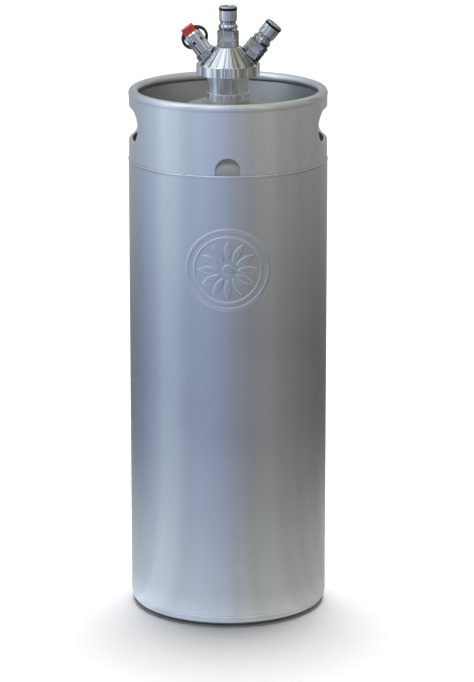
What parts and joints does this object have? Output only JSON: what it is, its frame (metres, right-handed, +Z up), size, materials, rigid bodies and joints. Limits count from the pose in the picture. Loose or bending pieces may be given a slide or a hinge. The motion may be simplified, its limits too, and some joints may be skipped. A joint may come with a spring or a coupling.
{
  "type": "beer keg",
  "caption": "Slim stainless beer keg with a rolled-rim collar, hand holes and a screw-on tapping head carrying ball-lock posts and a relief valve with pull ring.",
  "frame": {"origin": "centre of the foot ring, on the floor", "axes": "+Z up along the keg's axis, -Y out of the front with the drain notch and medallion, +X towards the gas post"},
  "size_m": [0.1868, 0.187, 0.5753],
  "materials": {
    "vessel_steel": "satin brushed, fine vertical and round grain",
    "dome_steel": "dull pressed satin",
    "collar_steel": "satin, brighter on the rolled rim",
    "weld_steel": "cleaned weld",
    "turned_steel": "turned on a lathe",
    "head_steel": "turned and polished, radial highlights",
    "fitting_steel": "machined, semi-bright",
    "bright_steel": "polished",
    "poppet_steel": "machined",
    "tube_steel": "drawn tube",
    "spring_steel": "drawn wire",
    "ring_steel": "dark burnished",
    "seal_rubber": "matt black",
    "red_plastic": "gloss, moulded"
  },
  "bodies": {
    "keg": {"body_shell": "vessel_steel", "bottom_end": "vessel_steel", "top_dome": "dome_steel", "top_collar": "collar_steel", "collar_tacks": "weld_steel", "neck": "turned_steel", "neck_weld_ring": "turned_steel"},
    "neck_seal": {"neck_seal": "seal_rubber"},
    "dip_tube": {"liquid_dip_tube": "tube_steel", "liquid_tube_o_ring": "seal_rubber"},
    "head": {"tapping_head": "head_steel", "liquid_port": "fitting_steel", "gas_port": "fitting_steel", "prv_port": "fitting_steel", "liquid_post": "fitting_steel", "gas_post": "fitting_steel", "liquid_post_o_ring": "seal_rubber", "gas_post_o_ring": "seal_rubber", "liquid_poppet_spring": "spring_steel", "gas_poppet_spring": "spring_steel", "gas_dip_tube": "tube_steel", "gas_tube_o_ring": "seal_rubber", "prv_body": "bright_steel", "prv_spring": "spring_steel"},
    "liquid_poppet": {"liquid_poppet": "poppet_steel", "liquid_poppet_seal": "seal_rubber"},
    "gas_poppet": {"gas_poppet": "poppet_steel", "gas_poppet_seal": "seal_rubber"},
    "prv_plunger": {"prv_stem": "poppet_steel", "prv_seal": "seal_rubber", "prv_cap": "red_plastic"},
    "pull_ring": {"pull_ring": "ring_steel"}
  },
  "joints": [
    {"name": "head_lift_off", "type": "slide", "parent": "keg", "child": "neck_seal", "axis": [0, 0, 1], "range_m": [0, 0.51]},
    {"name": "head_rise", "type": "slide", "parent": "neck_seal", "child": "dip_tube", "axis": [0, 0, 1], "range_m": [0, 0.012]},
    {"name": "head_turn", "type": "hinge", "parent": "dip_tube", "child": "head", "pos_m": [0, 0, 0.5114], "axis": [0, 0, 1], "range_deg": [0, 1440]},
    {"name": "liquid_poppet_press", "type": "slide", "parent": "head", "child": "liquid_poppet", "axis": [0, 0, -1], "range_m": [0, 0.003], "stiffness_N_per_m": 400, "springref_m": -0.008, "deforming": ["liquid_poppet_spring"]},
    {"name": "gas_poppet_press", "type": "slide", "parent": "head", "child": "gas_poppet", "axis": [-0.6225, 0, -0.7826], "range_m": [0, 0.003], "stiffness_N_per_m": 400, "springref_m": -0.008, "deforming": ["gas_poppet_spring"]},
    {"name": "prv_pull", "type": "slide", "parent": "head", "child": "prv_plunger", "axis": [-0.5948, 0, 0.8039], "range_m": [0, 0.003], "stiffness_N_per_m": 2000, "springref_m": -0.004, "deforming": ["prv_spring"]},
    {"name": "ring_swing", "type": "hinge", "parent": "prv_plunger", "child": "pull_ring", "pos_m": [-0.03696, 0, 0.55328], "axis": [0.8039, 0, 0.5948], "range_deg": [0, 306]}
  ],
  "couplings": [
    {"joint": "head_turn", "follows": "head_rise", "rad_per_m": 2094.4}
  ]
}
